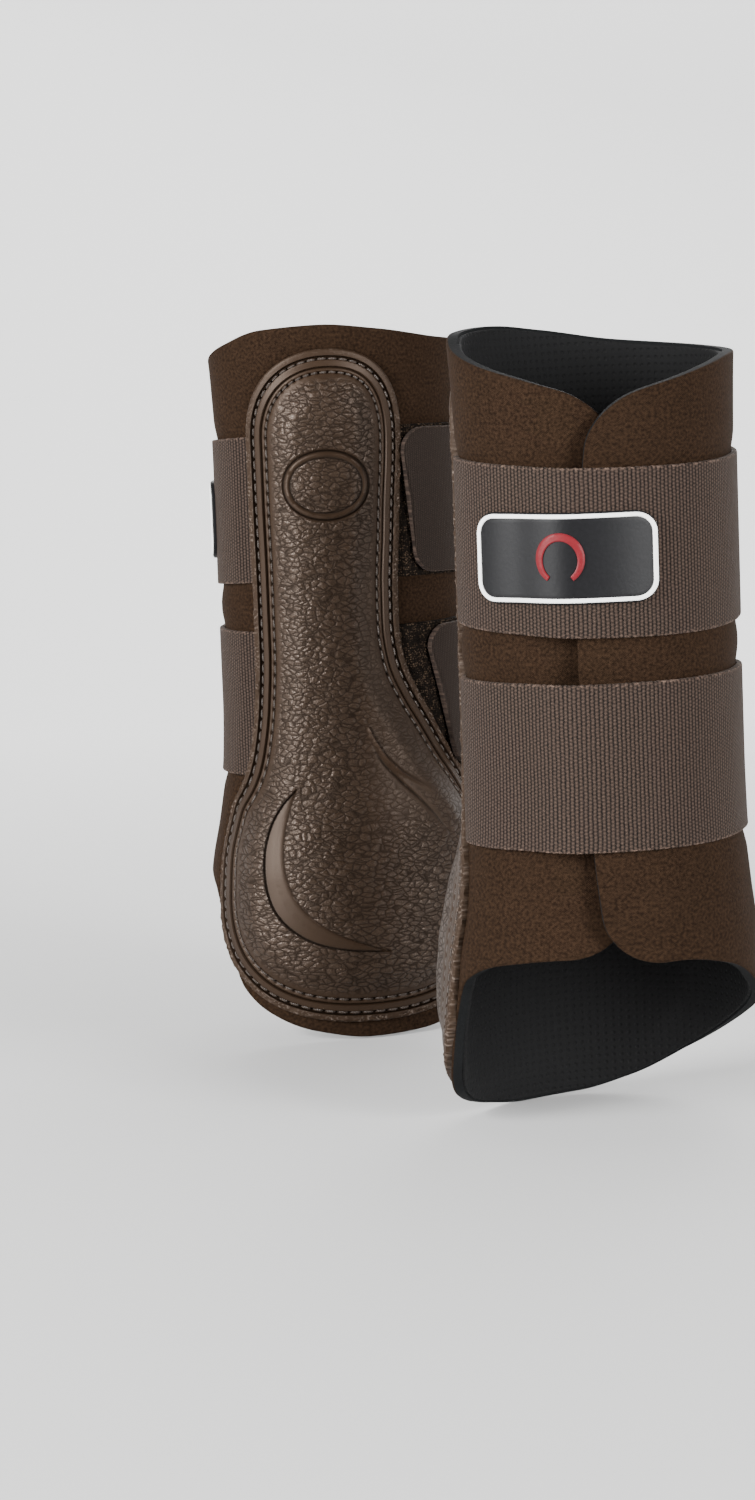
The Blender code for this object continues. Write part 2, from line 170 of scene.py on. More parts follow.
ARC_WRAPS = np.arange(-260.0, 341.0, 1.0)
ARC_LENGTHS = running_length(points_on("left", ARC_WRAPS, 0.15 + 0 * ARC_WRAPS, 0.0)[:, :2])
ARC_LENGTHS -= np.interp(0.0, ARC_WRAPS, ARC_LENGTHS)


def arc(wrap):
    """Distance round the shell from wrap angle 0."""
    return np.interp(wrap, ARC_WRAPS, ARC_LENGTHS)


def wrap_at(distance):
    return np.interp(distance, ARC_LENGTHS, ARC_WRAPS)


# Layers


def rear_lift(wrap):
    return OVERLAP_LIFT * ease(-wrap, -REAR_LIFT_FROM, -REAR_LIFT_TO)


def strap_base(wrap):
    """Offset of a strap's inner face, over whatever it crosses."""
    edge = REAR_PANEL_END + 360
    over_front = OVERLAP_LIFT * ease(wrap, STRAP_LIFT_FROM, edge)
    over_rear = rear_lift(wrap - 360) + HOOK_STACK * ease(wrap, TAB_HINGE - 24, TAB_HINGE - 6)
    return LAYER_GAP + np.where(wrap < edge, over_front, over_rear)


def strap_middle(level, wrap):
    if level == "lower":
        return STRAP_HEIGHTS[level] + 0 * wrap
    return STRAP_HEIGHTS[level] - UPPER_STRAP_TILT * np.cos(np.radians(wrap + PAD_MIDDLE))


def round_edge(distance, radius):
    """How far a rounded edge has fallen at a distance from it."""
    inside = np.clip(radius - distance, 0.0, radius)
    return radius - np.sqrt(radius**2 - inside**2)


def wobble(wrap, height, seed):
    """A slow, soft unevenness between -1 and 1."""
    a, b = np.radians(wrap), height / 0.06
    waves = ((3, 1.3, 1.0), (5, -2.1, 2.7), (2, 3.7, 1.9))
    return sum(np.sin(round_leg * a + up * b + phase * seed) for round_leg, up, phase in waves) / 3


def pad_edges(height):
    """Wrap angles of the strike pad's rear and front edge at a height."""
    height = np.asarray(height, float)
    down = np.clip((LOBE_HEIGHT - height) / (LOBE_HEIGHT - PAD_BOTTOM), 0.0, 1.0)
    lobe = LOBE_HALF * (1 - down**LOBE_POWER) ** (1 / LOBE_POWER)
    up = np.clip((height - ARCH_FOOT) / (PAD_TOP - ARCH_FOOT), 0.0, 1.0)
    level = np.minimum(height, ARCH_FOOT)
    edges = []
    for edge, power, way in ((PAD_REAR_EDGE, REAR_ARCH_POWER, -1), (PAD_FRONT_EDGE, FRONT_ARCH_POWER, 1)):
        column = ARCH_MIDDLE + (smooth_curve(edge, level) - ARCH_MIDDLE) * (1 - up**power) ** (1 / power)
        edges.append(np.where(height < LOBE_HEIGHT, LOBE_MIDDLE + way * lobe, column))
    return edges


def under_pad(wrap, height):
    """1 under the strike pad, 0 clear of it."""
    rear, front = pad_edges(height)
    sideways = ease(np.minimum(wrap - rear, front - wrap), -6.0, 2.0)
    over_bottom = ease(height, PAD_BOTTOM - 0.004, PAD_BOTTOM + 0.002)
    return sideways * over_bottom * (1 - ease(height, PAD_TOP - 0.001, PAD_TOP + 0.004))


def shell_relief(wrap, height):
    """The neoprene is pressed in under the straps and swells softly between them."""
    pressed = 0.0
    for level in STRAP_HEIGHTS:
        reach = np.abs(height - strap_middle(level, wrap)) - STRAP_WIDTH / 2
        pressed = np.maximum(pressed, 1 - ease(reach, -0.002, 0.007))
    pressed = np.maximum(pressed, under_pad(wrap, height))
    return 0.0007 * (1 - pressed) - 0.0003 * pressed + 0.00035 * wobble(wrap, height, 1.0) * (1 - pressed)


# Mesh makers


def edge_lines(length, spacing, radius, ends=(True, True)):
    """Shares of a length from 0 to 1 with extra lines at its rounded ends."""
    close = np.array([0.0, 0.12, 0.4, 1.0, 1.8]) * radius
    start = close if ends[0] else np.array([0.0])
    end = length - (close if ends[1] else np.array([0.0]))
    count = max(2, int(round((end.min() - start.max()) / spacing)))
    between = np.linspace(start.max(), end.min(), count + 1)[1:-1]
    return np.concatenate([start, between, end[::-1]]) / length


def corner_lines(s, share):
    """Those shares of a length with more lines where its far corners are round."""
    return np.unique(np.concatenate([s, 1 - share * (1 - np.sin(np.linspace(0, np.pi / 2, 9)[1:-1]))]))


def new_object(name, side, points, faces, uv, materials, indices=None, sharp=40, fields=None):
    """A smooth-shaded mesh object. The right boot is a mirror image, so its faces turn over. fields are
    numbers at each point that the materials read."""
    mesh = bpy.data.meshes.new(name)
    if SIDES[side] < 0:
        faces = [f[::-1] for f in faces]
    mesh.from_pydata([tuple(p) for p in points], [], faces)
    layer = mesh.uv_layers.new(name="Cloth")
    loops = np.zeros(len(mesh.loops), np.int32)
    mesh.loops.foreach_get("vertex_index", loops)
    layer.data.foreach_set("uv", np.asarray(uv, np.float32)[loops].ravel())
    for material in materials:
        mesh.materials.append(material)
    if indices is not None:
        mesh.polygons.foreach_set("material_index", np.asarray(indices, np.int32))
    for key, values in (fields or {}).items():
        mesh.attributes.new(key, "FLOAT", "POINT").data.foreach_set("value", np.asarray(values, np.float32))
    mesh.shade_smooth()
    mesh.set_sharp_from_angle(angle=math.radians(sharp))
    mesh.update()
    return link_object(f"{side}_{name}", mesh)


def link_object(name, data):
    made = bpy.data.objects.new(name, data)
    bpy.context.scene.collection.objects.link(made)
    return made


def grid_faces(rows, columns, start=0, flip=False):
    index = start + np.arange(rows * columns).reshape(rows, columns)
    corners = (index[:-1, :-1], index[:-1, 1:], index[1:, 1:], index[1:, :-1])
    quads = np.stack(corners, axis=-1).reshape(-1, 4)
    return (quads[:, ::-1] if flip else quads).tolist()


def sheet_object(
    name, side, wrap, height, outer, inner, materials, clockwise=False, fields=None, last_from=None
):
    """A closed sheet between two offset grids. Materials are the outer face, the cut edge and the inner face,
    and then one for all that lies past the wrap angle last_from."""
    rows, columns = wrap.shape
    points = [points_on(side, wrap, height, offset).reshape(-1, 3) for offset in (outer, inner)]
    uv = np.stack([arc(wrap) / MM, height / MM], axis=-1).reshape(-1, 2)
    front = grid_faces(rows, columns, 0, clockwise)
    back = grid_faces(rows, columns, rows * columns, not clockwise)
    index = np.arange(rows * columns).reshape(rows, columns)
    rim = np.concatenate([index[0, :-1], index[:-1, -1], index[-1, :0:-1], index[:0:-1, 0]])
    after = np.roll(rim, -1)
    wall = np.stack([after, rim, rim + rows * columns, after + rows * columns], axis=-1)
    wall = (wall[:, ::-1] if clockwise else wall).tolist()
    faces = np.array(front + wall + back)
    kinds = np.repeat([0, 1, 2], [len(front), len(wall), len(back)])
    if last_from is not None:
        past = np.tile(wrap.reshape(-1), 2)[faces].mean(axis=1) > last_from
        kinds = np.where(past, 3, kinds)
    fields = {key: np.tile(values.reshape(-1), 2) for key, values in (fields or {}).items()}
    points, uv = np.concatenate(points), np.concatenate([uv, uv])
    return new_object(name, side, points, faces.tolist(), uv, materials, kinds, fields=fields)


def surface_distances(wrap, height):
    """For a grid, the distance of each point from the start and the end of its row, and of its column."""
    u, found = arc(wrap), []
    for axis in (1, 0):
        steps = np.hypot(np.diff(u, axis=axis), np.diff(height, axis=axis))
        gone = np.concatenate([0 * u.take([0], axis=axis), np.cumsum(steps, axis=axis)], axis=axis)
        found += [gone, gone.take([-1], axis=axis) - gone]
    return found


# Materials


def node(tree, kind, inputs=None, **settings):
    """A shader node. An input is given a number, a colour, a Field or another node's socket."""
    made = tree.nodes.new("ShaderNode" + kind)
    for key, value in settings.items():
        setattr(made, key, value)
    for key, value in (inputs or {}).items():
        value = getattr(value, "socket", value)
        if isinstance(value, bpy.types.NodeSocket):
            tree.links.new(value, made.inputs[key])
        else:
            made.inputs[key].default_value = value
    return made


class Field:
    """A number that varies over a surface."""

    def __init__(self, tree, socket):
        self.tree, self.socket = tree, socket

    def calc(self, operation, other=0.0):
        made = node(self.tree, "Math", {0: self, 1: other}, operation=operation)
        return Field(self.tree, made.outputs[0])

    def stretch(self, low, high):
        """The field mapped from low..high to 0..1."""
        made = node(self.tree, "MapRange", {"Value": self, "From Min": low, "From Max": high})
        return Field(self.tree, made.outputs[0])

    def __add__(self, other):
        return self.calc("ADD", other)

    def __mul__(self, other):
        return self.calc("MULTIPLY", other)


class Paint:
    """A Principled material with constant inputs. Its space is the cloth coordinates in millimetres, along
    the wrap and up, or the object's own coordinates in metres where it is solid."""

    def __init__(self, name, colour, roughness, solid=False, **inputs):
        self.material = bpy.data.materials.new(name)
        self.material.use_nodes = True
        self.tree = self.material.node_tree
        self.shader = self.tree.nodes["Principled BSDF"]
        self.shader.inputs["Base Color"].default_value = (*colour, 1.0)
        self.shader.inputs["Roughness"].default_value = roughness
        for key, value in inputs.items():
            self.shader.inputs[key.replace("_", " ")].default_value = value
        if solid:
            self.space = node(self.tree, "TexCoord").outputs["Object"]
        else:
            self.space = node(self.tree, "UVMap", uv_map="Cloth").outputs[0]

    def field(self, kind, inputs=None, output=0, **settings):
        return Field(self.tree, node(self.tree, kind, inputs, **settings).outputs[output])

    def axis(self, number):
        return self.field("SeparateXYZ", {0: self.space}, number)

    def ripple(self, number, pitch):
        return (self.axis(number) * (2 * math.pi / pitch)).calc("SINE")

    def noise(self, scale, detail=2.0):
        return self.field("TexNoise", {"Vector": self.space, "Scale": scale, "Detail": detail})

    def cells(self, scale, randomness):
        return self.field("TexVoronoi", {"Vector": self.space, "Scale": scale, "Randomness": randomness})

    def attribute(self, name):
        return self.field("Attribute", None, "Fac", attribute_name=name)

    def blend(self, factor, low, high):
        """Colour between low and high by factor, in linear RGB."""
        colours = [c if isinstance(c, bpy.types.NodeSocket) else (*c, 1.0) for c in (low, high)]
        inputs = {0: factor, 6: colours[0], 7: colours[1]}
        return node(self.tree, "Mix", inputs, data_type="RGBA").outputs[2]

    def feed(self, **sockets):
        for key, value in sockets.items():
            value = getattr(value, "socket", value)
            self.tree.links.new(value, self.shader.inputs[key.replace("_", " ")])
        return self.material

    def finish(self, colour, height, distance, strength=1.0, **others):
        """Feeds the colour, a bump of that height and any other inputs. Returns the material."""
        bump = node(self.tree, "Bump", {"Height": height, "Distance": distance, "Strength": strength})
        return self.feed(Base_Color=colour, Normal=bump.outputs[0], **others)


def neoprene_material():
    """Smooth knitted facing: very fine wales, a small mottle and a faint nap."""
    paint = Paint(
        "neoprene_knit", (0.022, 0.012, 0.008), 0.85, Sheen_Weight=0.02, Sheen_Roughness=0.5,
        Sheen_Tint=(0.50, 0.36, 0.28, 1.0), Specular_IOR_Level=0.05,
    )
    fine, cloud = paint.noise(1.05, 4.0), paint.noise(0.13, 3.0)
    knit = paint.ripple(0, 0.74) * paint.ripple(1, 0.58)
    tone = (knit * 0.04 + fine * 0.88 + cloud * 0.12).stretch(0.36, 0.64)
    colour = paint.blend(tone, (0.0078, 0.0039, 0.0019), (0.0222, 0.0121, 0.0065))
    return paint.finish(colour, knit * 0.25 + fine, 0.00016, 0.8)


def foam_material():
    """Cut neoprene edge: dark closed-cell foam."""
    paint = Paint("foam_edge", (0.006, 0.006, 0.006), 0.85, True, Specular_IOR_Level=0.08)
    cells = paint.noise(1800.0)
    colour = paint.blend(cells, (0.0022, 0.0023, 0.0024), (0.009, 0.0095, 0.0100))
    return paint.finish(colour, cells, 0.00015, 0.7)


def lining_material():
    """Black lining with a small, regular emboss."""
    paint = Paint("lining_fabric", (0.006, 0.006, 0.006), 0.8, Specular_IOR_Level=0.15)
    pits = paint.cells(0.42, 0.1).stretch(0.12, 0.30)
    fine = paint.noise(2.5)
    colour = paint.blend(fine, (0.0020, 0.0020, 0.0020), (0.0059, 0.0059, 0.0063))
    return paint.finish(colour, fine * 0.25 + pits, 0.0003, 0.7)


def webbing_material(name, low, high, pitch, relief):
    """Woven elastic: ribs across the strap, each a row of small yarn floats, offset from rib to rib, and pale
    loops along the edges that are partly a painted highlight.
    """
    paint = Paint(
        name, high, 0.8, Sheen_Weight=0.06, Sheen_Roughness=0.4, Sheen_Tint=(0.55, 0.46, 0.40, 1.0),
        Specular_IOR_Level=0.12,
    )
    drift = paint.noise(0.25, 1.0) * 0.35
    along = (paint.axis(0) + drift).calc("DIVIDE", pitch)
    rib = (along * math.pi).calc("SINE").calc("ABSOLUTE")
    turn = along.calc("FLOOR") * math.pi
    yarn = (paint.axis(1) * (2 * math.pi / (0.95 * pitch)) + turn).calc("SINE") * 0.5 + 0.5
    uneven = paint.noise(1.3, 3.0)
    floats = rib * (yarn * 0.55 + 0.45)
    woven = paint.blend((uneven * 0.8 + (floats * 0.9 + -0.42)).stretch(0.05, 0.80), low, high)
    # Pale edges: partly the webbing's own loose loops, partly a painted highlight where the edges catch the
    # light.
    rim = paint.attribute("edge").stretch(0.8 * pitch, 0.3 * pitch)
    loops = rim * paint.noise(0.9).stretch(0.48, 0.66)
    colour = paint.blend(loops, woven, [2.0 * part for part in high])
    return paint.finish(colour, uneven * 0.3 + floats, relief, 0.9)


def leather_material():
    """Pebbled synthetic leather: small plump cells with painted shade in the creases between them, and smooth
    where pressed flat.
    """
    paint = Paint(
        "pad_leather_grain", (0.030, 0.019, 0.014), 0.36, Specular_IOR_Level=0.42,
        Specular_Tint=(1.0, 0.82, 0.70, 1.0),
    )
    smooth, crease, raw = (paint.attribute(name) for name in ("smooth", "crease", "raw_edge"))
    grained = smooth * -1.0 + 1.0
    large = pebbles(paint, 0.58, 0.60, 32.0)
    small = pebbles(paint, 1.25, 0.80, -25.0)
    plump = (small.stretch(0.0, 0.30) * 0.30 + large.stretch(0.0, 0.34)) * grained
    gaps = large.stretch(0.16, 0.0).calc("MAXIMUM", small.stretch(0.10, 0.0) * 0.45) * grained
    fine = paint.noise(2.8, 3.0)
    light = paint.blend(paint.noise(0.08), (0.0150, 0.0081, 0.0043), (0.0216, 0.0122, 0.0068))
    # Painted shade: the creases between the cells are darkened.
    tone = paint.blend(gaps * 0.68, light, (0.0024, 0.0013, 0.0008))
    frayed = raw * (paint.noise(1.1, 4.0).stretch(0.50, 0.64) * paint.noise(0.22).stretch(0.36, 0.60))
    edged = paint.blend(frayed, tone, (0.1054, 0.0806, 0.0651))
    # Painted shade in the pressed grooves, stitch holes and lines.
    groove_shaded = paint.blend(crease, edged, (0.0018, 0.0013, 0.0010))
    shine = gaps * -0.30 + (smooth * -0.20 + 0.42)
    rough = fine * 0.14 + 0.29 + gaps * 0.25 + smooth * 0.08 + raw * 0.25
    relief = frayed * 1.2 + (fine * 0.10 + plump)
    return paint.finish(groove_shaded, relief, 0.00022, Specular_IOR_Level=shine, Roughness=rough)


def pebbles(paint, scale, narrowing, turn):
    """Distance from the creases between leather cells drawn out along a slant, as a share of their size."""
    warp = node(paint.tree, "TexNoise", {"Vector": paint.space, "Scale": 0.45 * scale, "Detail": 2.0})
    push = {0: warp.outputs[1], 1: (1 / scale, 1 / scale, 0.0), 2: paint.space}
    moved = node(paint.tree, "VectorMath", push, operation="MULTIPLY_ADD").outputs[0]
    slant = {"Vector": moved, "Rotation": (0.0, 0.0, math.radians(turn)), "Scale": (narrowing, 1.0, 1.0)}
    cells = {"Vector": node(paint.tree, "Mapping", slant).outputs[0], "Scale": scale, "Randomness": 0.85}
    return paint.field("TexVoronoi", cells, feature="DISTANCE_TO_EDGE")


def pile_material():
    """Brushed loop pile: small dark loops with paler tips."""
    paint = Paint("loop_pile", (0.012, 0.007, 0.004), 0.9, Specular_IOR_Level=0.1)
    tips = paint.cells(1.25, 0.55).stretch(0.60, 0.10).calc("POWER", 2.0)
    patchy = tips * paint.noise(0.35, 3.0).stretch(0.36, 0.62)
    colour = paint.blend(patchy, (0.0027, 0.0015, 0.0007), (0.1260, 0.0829, 0.0525))
    return paint.finish(colour, tips, 0.0005)


def hook_material():
    """Moulded tape with even rows of small hooks."""
    paint = Paint("hook_tape", (0.020, 0.016, 0.014), 0.55)
    tips = paint.cells(0.8, 0.0).stretch(0.45, 0.15)
    colour = paint.blend(tips, (0.0066, 0.0053, 0.0046), (0.0330, 0.0277, 0.0244))
    return paint.finish(colour, tips, 0.0006)


def thread_material():
    """Twisted sewing thread."""
    paint = Paint("thread", (0.040, 0.027, 0.020), 0.42)
    inputs = {"Vector": paint.space, "Scale": 0.9, "Distortion": 1.0}
    twist = paint.field("TexWave", inputs, 1, bands_direction="DIAGONAL")
    colour = paint.blend(twist, (0.0161, 0.0102, 0.0070), (0.0527, 0.0372, 0.0278))
    return paint.finish(colour, twist, 0.0002, 0.8)


def rubber_material(name, colour, pale, roughness, speckle):
    paint = Paint(name, colour, roughness, True, Specular_IOR_Level=0.11)
    fine = paint.noise(speckle, 3.0)
    return paint.finish(paint.blend(fine, colour, pale), fine, 0.00006, 0.6)


NEOPRENE = neoprene_material()
FOAM = foam_material()
LINING = lining_material()
WEBBING = webbing_material(
    "elastic_webbing", (0.0030, 0.0018, 0.0013), (0.0478, 0.0316, 0.0238), 1.15, 0.00032
)
TAB_WEBBING = webbing_material(
    "tab_webbing", (0.0086, 0.0055, 0.0041), (0.0202, 0.0134, 0.0102), 0.8, 0.00010
)
LEATHER = leather_material()
PILE = pile_material()
HOOKS = hook_material()
THREAD = thread_material()
BADGE_BLACK = rubber_material("badge_black", (0.004, 0.004, 0.0045), (0.008, 0.008, 0.009), 0.42, 900.0)
BADGE_WHITE = rubber_material("badge_white", (0.90, 0.90, 0.88), (0.96, 0.96, 0.94), 0.45, 700.0)
BADGE_RED = rubber_material("badge_red", (0.1020, 0.0072, 0.0108), (0.1380, 0.0120, 0.0156), 0.40, 800.0)


# Where two bodies meet, a piece's placing is baked into its mesh


def bend(piece, side, joint, parent, child, direction, reach=0.006):
    """Bakes a piece's placing into its mesh; it isn't blended across the joint. direction, the way from the
    parent to the child on the left boot, is not used.
    """
    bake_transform(piece)


# Neoprene shell and its lining


def shell_grid(start, end, corner, spacing, inset, bow):
    """Wrap angles and heights over a stretch of the shell whose far corners are round."""
    length = abs(arc(end) - arc(start))
    s = corner_lines(edge_lines(length, spacing, 0.0006, (False, True)), corner / length)
    t = edge_lines(0.19, spacing, 0.0006)
    s, t = np.meshgrid(s, t)
    sign = math.copysign(1.0, end - start)
    wrap = wrap_at(arc(start) + sign * length * s)
    fall = round_edge((1 - s) * length, corner)
    bottom = smooth_curve(BOTTOM_RIM, wrap) + fall + inset
    top = smooth_curve(TOP_RIM, wrap) - fall - inset
    height = bottom + (top - bottom) * t
    return wrap + bow * s * ((height - BETWEEN_STRAPS) / 0.057) ** 2, height


def flat_cut(end):
    """Height, length and area in metres of the neoprene from the middle line to a free edge, laid flat."""
    wraps = np.linspace(0.0, end, 200)
    tall = smooth_curve(TOP_RIM, wraps) - smooth_curve(BOTTOM_RIM, wraps)
    along = np.abs(arc(wraps))
    return tall.max(), along[-1], np.sum((tall[1:] + tall[:-1]) / 2 * np.diff(along))


def shell_piece(side, name, end, corner, lift, bow, flap):
    """A stretch of the shell and its lining, from under the strike pad to a free edge."""

    def layer(corner, spacing, inset, radius):
        """Wrap angles, heights, offsets of the shell's outer face, and how far the edge has rounded off."""
        wrap, height = shell_grid(0.0, end, corner, spacing, inset, bow)
        _, to_end, up, down = surface_distances(wrap, height)
        curl = flap * (1 - ease(to_end, 0.0, 0.016)) * ease(np.abs(height - BETWEEN_STRAPS), 0.055, 0.085)
        face = lift(wrap) + shell_relief(wrap, height) + curl
        return wrap, height, face, round_edge(np.minimum(np.minimum(to_end, up), down), radius)

    clockwise = end < 0
    wrap, height, face, rounding = layer(corner, 0.0016, 0.0, 0.0006)
    offsets, cloths = (face - rounding, face - SHELL_THICKNESS), (NEOPRENE, FOAM, FOAM)
    shell = sheet_object(f"{name}_shell", side, wrap, height, *offsets, cloths, clockwise)
    wrap, height, face, rounding = layer(corner * 0.95, 0.003, 0.0008, 0.0005)
    face = face - SHELL_THICKNESS - 0.00005
    offsets, cloths = (face, face - LINING_THICKNESS + rounding), (FOAM, LINING, LINING)
    lining = sheet_object(f"{name}_lining_cloth", side, wrap, height, *offsets, cloths, clockwise)
    tall, along, area = flat_cut(end)
    made = ((shell, "panel", "neoprene", ()), (lining, "lining", "lining", [shell]))
    for piece, kind, slot, below in made:
        bend(piece, side, f"{name}_opening", "core", f"{name}_wing", (1, 0))
        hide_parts(f"{side}_{name}_{kind}", f"{side}_medial_{kind}")


# Straps


def strap_piece(side, level, name, solids, start, end, hinge, corner):
    """One length of strap in place of those solids, over a panel. start and end are (lower edge, upper edge)
    wrap angles, and start is None where the strap comes out from under the strike pad."""
    length = abs(arc(sum(end) / 2) - arc(sum(start or (30.0, 30.0)) / 2))
    s = edge_lines(length, 0.0011, 0.0005, (False, bool(corner)))
    if corner:
        s = corner_lines(s, corner / length)
    t = edge_lines(STRAP_WIDTH, 0.0018, 0.0005)
    s, t = np.meshgrid(s, t)
    if start:
        first = start[0] + (start[1] - start[0]) * t
    else:
        first = pad_edges(strap_middle(level, 30 + 0 * t) + (t - 0.5) * STRAP_WIDTH)[1] - TUCK
    last = end[0] + (end[1] - end[0]) * t
    wrap = wrap_at(arc(first) + (arc(last) - arc(first)) * s)
    to_end = arc(last) - arc(wrap)
    half = STRAP_WIDTH / 2 - (round_edge(to_end, corner) if corner else 0.0)
    selvedge = 0.00012 * np.sin(arc(wrap) / MM * 2 * math.pi / 2.1) * (np.abs(2 * t - 1) > 0.999)
    height = strap_middle(level, wrap) + (2 * t - 1) * (half + selvedge)
    _, to_tip, up, down = surface_distances(wrap, height)
    near = np.minimum(up, down)
    near = np.minimum(near, to_tip) if corner else near
    sag = 0.00018 * wobble(2 * wrap, height, 4.0 if level == "upper" else 6.0)
    clear_of_pad = 1.0 if start else ease(arc(wrap) - arc(first), 0.0005, 0.0075)
    inner = strap_base(wrap) - 0.0005 + sag - 0.0011 * (1 - clear_of_pad)
    seam = 0.00035 * peak(near / MM - 1.3, 0.45) * (wrap > TAB_SEAM)
    doubled = 0.0003 * ease(wrap, TAB_SEAM - 0.4, TAB_SEAM + 0.4)
    outer = inner + 0.0017 + doubled - seam - round_edge(near, 0.0005)
    piece = sheet_object(
        f"{level}_strap_{name}", side, wrap, height, outer, inner, (WEBBING, WEBBING, WEBBING, TAB_WEBBING),
        fields={"edge": np.clip(near / MM, 0.0, 5.0)}, last_from=TAB_SEAM,
    )
    bend(piece, side, *hinge)
    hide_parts(*(f"{side}_{level}_strap_{solid}" for solid in solids))


def strap_pieces(side, level):
    """A strap in three lengths. Each is named, and has its solids, ends, hinge and corners."""
    strap, tab = f"{level}_strap", f"{level}_tab"
    fold, back, tip = (118.0, 118.0), (235.0, 235.0), TAB_ENDS[level]
    opening = ("front_opening", "core", "front_wing", (1, 0))
    lift = (f"{strap}_lift", "front_wing", strap, (0, 1))
    peel = (f"{tab}_peel", strap, tab, (-1, 0))
    strap_piece(side, level, "front_length", ("root", "front"), None, fold, opening, 0.0)
    strap_piece(side, level, "side_length", ("side",), fold, back, lift, 0.0)
    strap_piece(side, level, "free_end", ("tab",), back, tip, peel, 0.008)


# Mouldings: closed sheets cut to an outline, with relief


def even_loop(points, count):
    """A closed line resampled to evenly spaced points."""
    return resample(np.concatenate([points, points[:1]]), count, endpoint=False)


def resample(points, count, endpoint=True):
    lengths = running_length(points)
    where = np.linspace(0.0, lengths[-1], count, endpoint=endpoint)
    return np.stack([np.interp(where, lengths, points[:, axis]) for axis in (0, 1)], axis=1)


def left_of(along):
    """Unit directions at the left of those."""
    return np.stack([-along[:, 1], along[:, 0]], axis=1) / np.linalg.norm(along, axis=1, keepdims=True)


def soften_loop(points, reach):
    """A closed line with its sharp turns eased over so many points."""
    shifts = np.arange(-3 * reach, 3 * reach + 1)
    weights = np.exp(-0.5 * (shifts / reach) ** 2)
    return sum(w * np.roll(points, -n, axis=0) for n, w in zip(shifts, weights)) / weights.sum()


def inward(loop):
    """Unit directions into a closed line that runs counterclockwise."""
    return left_of(np.roll(loop, -1, axis=0) - np.roll(loop, 1, axis=0))


def depth_in(points, loop):
    """How far inside a closed line each point lies, negative outside."""
    u0, v0 = loop.T
    u1, v1 = np.roll(loop, -1, axis=0).T
    found = []
    for part in np.array_split(points, max(1, len(points) // 3000)):
        u, v = part[:, :1], part[:, 1:]
        nearest = np.sqrt(((u - u0) ** 2 + (v - v0) ** 2).min(axis=1))
        crosses = (v0 > v) != (v1 > v)
        crossing = u0 + (v - v0) * (u1 - u0) / np.where(v1 == v0, 1.0, v1 - v0)
        inside = (crosses & (u < crossing)).sum(axis=1) % 2 == 1
        found.append(np.where(inside, nearest, -nearest))
    return np.concatenate(found)


def distance_to(points, line):
    """Distance of each point from a line of closely spaced points, and how far along it, 0 to 1, the nearest
    of those lies."""
    found, where = [], []
    for part in np.array_split(points, max(1, len(points) // 4000)):
        squares = ((part[:, None] - line[None]) ** 2).sum(axis=2)
        nearest = np.argmin(squares, axis=1)
        found.append(np.sqrt(squares[np.arange(len(part)), nearest]))
        where.append(nearest / (len(line) - 1))
    return np.concatenate(found), np.concatenate(where)


def beside(line, offsets):
    """Copies of a line of points, each moved sideways by one of the offsets."""
    across = left_of(np.gradient(line, axis=0))
    return np.concatenate([line + across * offset for offset in offsets])


def fill(loop, spacing, details=None):
    """Points inside a closed line on an even grid, closer at the details, and the triangles that join them
    to it."""
    low, high = loop.min(axis=0), loop.max(axis=0)
    rows = []
    for number, v in enumerate(np.arange(low[1], high[1], spacing * math.sqrt(0.75))):
        u = np.arange(low[0] + number % 2 * spacing / 2, high[0], spacing)
        rows.append(np.stack([u, 0 * u + v], axis=1))
    grid = np.concatenate(rows)
    grid = grid[depth_in(grid, loop) > 0.55 * spacing]
    if details is not None:
        _, first = np.unique(np.round(details / 0.22), axis=0, return_index=True)
        details = details[np.sort(first)]
        details = details[depth_in(details, loop) > 0.3]
        grid = np.concatenate([grid[distance_to(grid, details)[0] > 0.3], details])
    corners = [Vector(p) for p in np.concatenate([loop, grid])]
    edges = [(i, (i + 1) % len(loop)) for i in range(len(loop))]
    _, _, faces, sources, _, _ = delaunay_2d_cdt(corners, edges, [], 1, 1e-7)
    return grid, np.array([[sources[i][0] for i in face] for face in faces])


def ring_faces(starts, count):
    """Faces that join closed rings of count points, which start at those indices, each to the next."""
    here = np.arange(count)
    after = np.roll(here, -1)
    rings = [np.stack([a + here, a + after, b + after, b + here], axis=1) for a, b in zip(starts, starts[1:])]
    return np.concatenate(rings).tolist()


